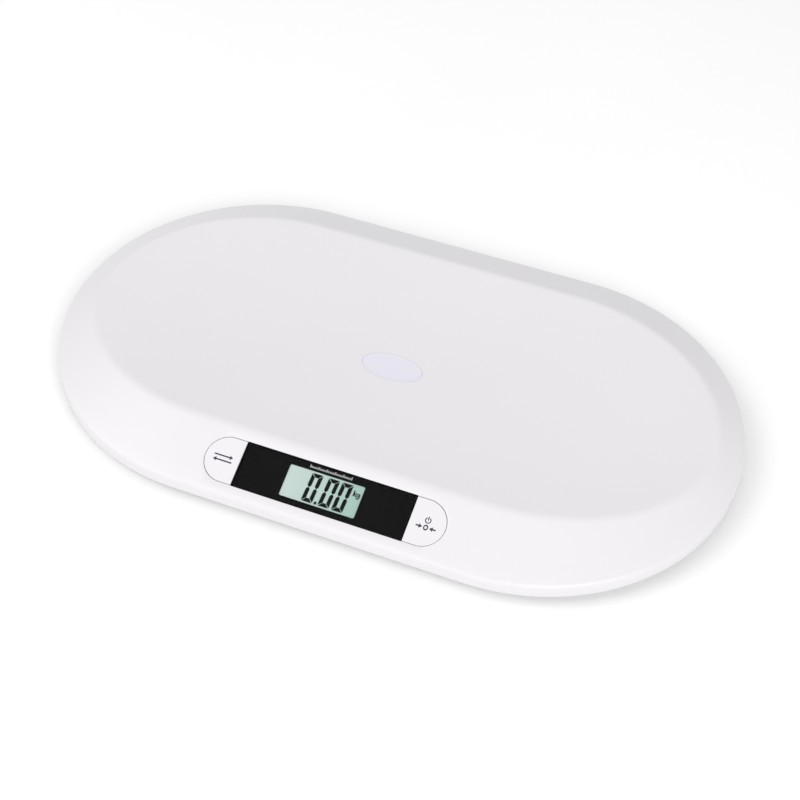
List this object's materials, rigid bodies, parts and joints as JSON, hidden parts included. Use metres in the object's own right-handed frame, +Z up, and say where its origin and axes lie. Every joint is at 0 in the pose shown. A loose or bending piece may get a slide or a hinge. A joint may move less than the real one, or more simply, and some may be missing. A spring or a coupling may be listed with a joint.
{
  "type": "animal weighing scale",
  "caption": "Low oval white scale for small animals: raised platform, bevelled rim with a flush black display panel and round-ended keys, load-cell feet.",
  "frame": {"origin": "on the floor, midway along and across the case, under its centre", "axes": "+X along the long side, to the right of someone reading the display; +Y away from the display; +Z up"},
  "size_m": [0.55, 0.31, 0.0391],
  "materials": {
    "case_plastic": "fine satin moulded white ABS",
    "badge_film": "pale lavender satin film",
    "clear_lens": "clear polished acrylic",
    "black_print": "black printed sheet",
    "key_plastic": "fine satin moulded white ABS",
    "switch_black": "moulded black plastic",
    "display_glass": "grey-green reflective liquid crystal cell",
    "diffuser": "milky light guide",
    "holder_plastic": "natural moulded plastic",
    "zebra_rubber": "layered conductive rubber",
    "board_laminate": "green solder mask on glass laminate",
    "component_black": "black moulding compound",
    "screw_steel": "zinc-plated steel",
    "label_film": "blank silver-grey label",
    "spring_steel": "nickel-plated spring steel",
    "battery_jacket": "blue jacket over a steel can",
    "cell_steel": "stamped zinc-plated steel",
    "clamp_plastic": "dark moulded plastic",
    "foot_plastic": "light grey moulded plastic",
    "foot_rubber": "soft dark rubber",
    "lead_jacket": "red insulated lead"
  },
  "bodies": {
    "case": {"top_cover": "case_plastic", "platform_badge": "badge_film", "display_lens": "clear_lens", "display_mask": "black_print", "unit_switch": "switch_black", "tare_switch": "switch_black", "lcd_glass": "display_glass", "lcd_backlight": "diffuser", "lcd_holder": "holder_plastic", "zebra_strip": "zebra_rubber", "main_board": "board_laminate", "board_components": "component_black", "board_screws": "screw_steel", "base_plate": "case_plastic", "cover_screws": "screw_steel", "rating_label": "label_film", "battery_springs": "spring_steel", "battery_plates": "spring_steel", "battery_lead": "lead_jacket", "battery_1": "battery_jacket", "battery_2": "battery_jacket", "battery_3": "battery_jacket", "load_cell_front_left": "cell_steel", "load_cell_front_right": "cell_steel", "load_cell_back_right": "cell_steel", "load_cell_back_left": "cell_steel", "cell_clamp_front_left": "clamp_plastic", "cell_clamp_front_right": "clamp_plastic", "cell_clamp_back_right": "clamp_plastic", "cell_clamp_back_left": "clamp_plastic", "sensor_lead_front_left": "lead_jacket", "sensor_lead_front_right": "lead_jacket", "sensor_lead_back_right": "lead_jacket", "sensor_lead_back_left": "lead_jacket", "clamp_screws": "screw_steel"},
    "unit_key_button": {"unit_key": "key_plastic", "unit_switch_plunger": "switch_black"},
    "tare_key_button": {"tare_key": "key_plastic", "tare_switch_plunger": "switch_black"},
    "battery_hatch": {"battery_door": "case_plastic"},
    "foot_front_left": {"foot_cap_front_left": "foot_plastic", "foot_pad_front_left": "foot_rubber"},
    "foot_front_right": {"foot_cap_front_right": "foot_plastic", "foot_pad_front_right": "foot_rubber"},
    "foot_back_right": {"foot_cap_back_right": "foot_plastic", "foot_pad_back_right": "foot_rubber"},
    "foot_back_left": {"foot_cap_back_left": "foot_plastic", "foot_pad_back_left": "foot_rubber"}
  },
  "joints": [
    {"name": "unit_key_press", "type": "slide", "parent": "case", "child": "unit_key_button", "axis": [0, 0.347, -0.9379], "range_m": [0, 0.0004], "stiffness_N_per_m": 1500},
    {"name": "tare_key_press", "type": "slide", "parent": "case", "child": "tare_key_button", "axis": [0, 0.347, -0.9379], "range_m": [0, 0.0004], "stiffness_N_per_m": 1500},
    {"name": "battery_door_hinge", "type": "hinge", "parent": "case", "child": "battery_hatch", "pos_m": [-0.03, 0.038, 0.01], "axis": [0, 1, 0], "range_deg": [0, 100]},
    {"name": "foot_front_left_press", "type": "slide", "parent": "case", "child": "foot_front_left", "axis": [0, 0, 1], "range_m": [0, 0.0005], "stiffness_N_per_m": 20000, "springref_m": -0.00014, "deforming": ["load_cell_front_left"]},
    {"name": "foot_front_right_press", "type": "slide", "parent": "case", "child": "foot_front_right", "axis": [0, 0, 1], "range_m": [0, 0.0005], "stiffness_N_per_m": 20000, "springref_m": -0.00014, "deforming": ["load_cell_front_right"]},
    {"name": "foot_back_right_press", "type": "slide", "parent": "case", "child": "foot_back_right", "axis": [0, 0, 1], "range_m": [0, 0.0005], "stiffness_N_per_m": 20000, "springref_m": -0.00014, "deforming": ["load_cell_back_right"]},
    {"name": "foot_back_left_press", "type": "slide", "parent": "case", "child": "foot_back_left", "axis": [0, 0, 1], "range_m": [0, 0.0005], "stiffness_N_per_m": 20000, "springref_m": -0.00014, "deforming": ["load_cell_back_left"]}
  ]
}
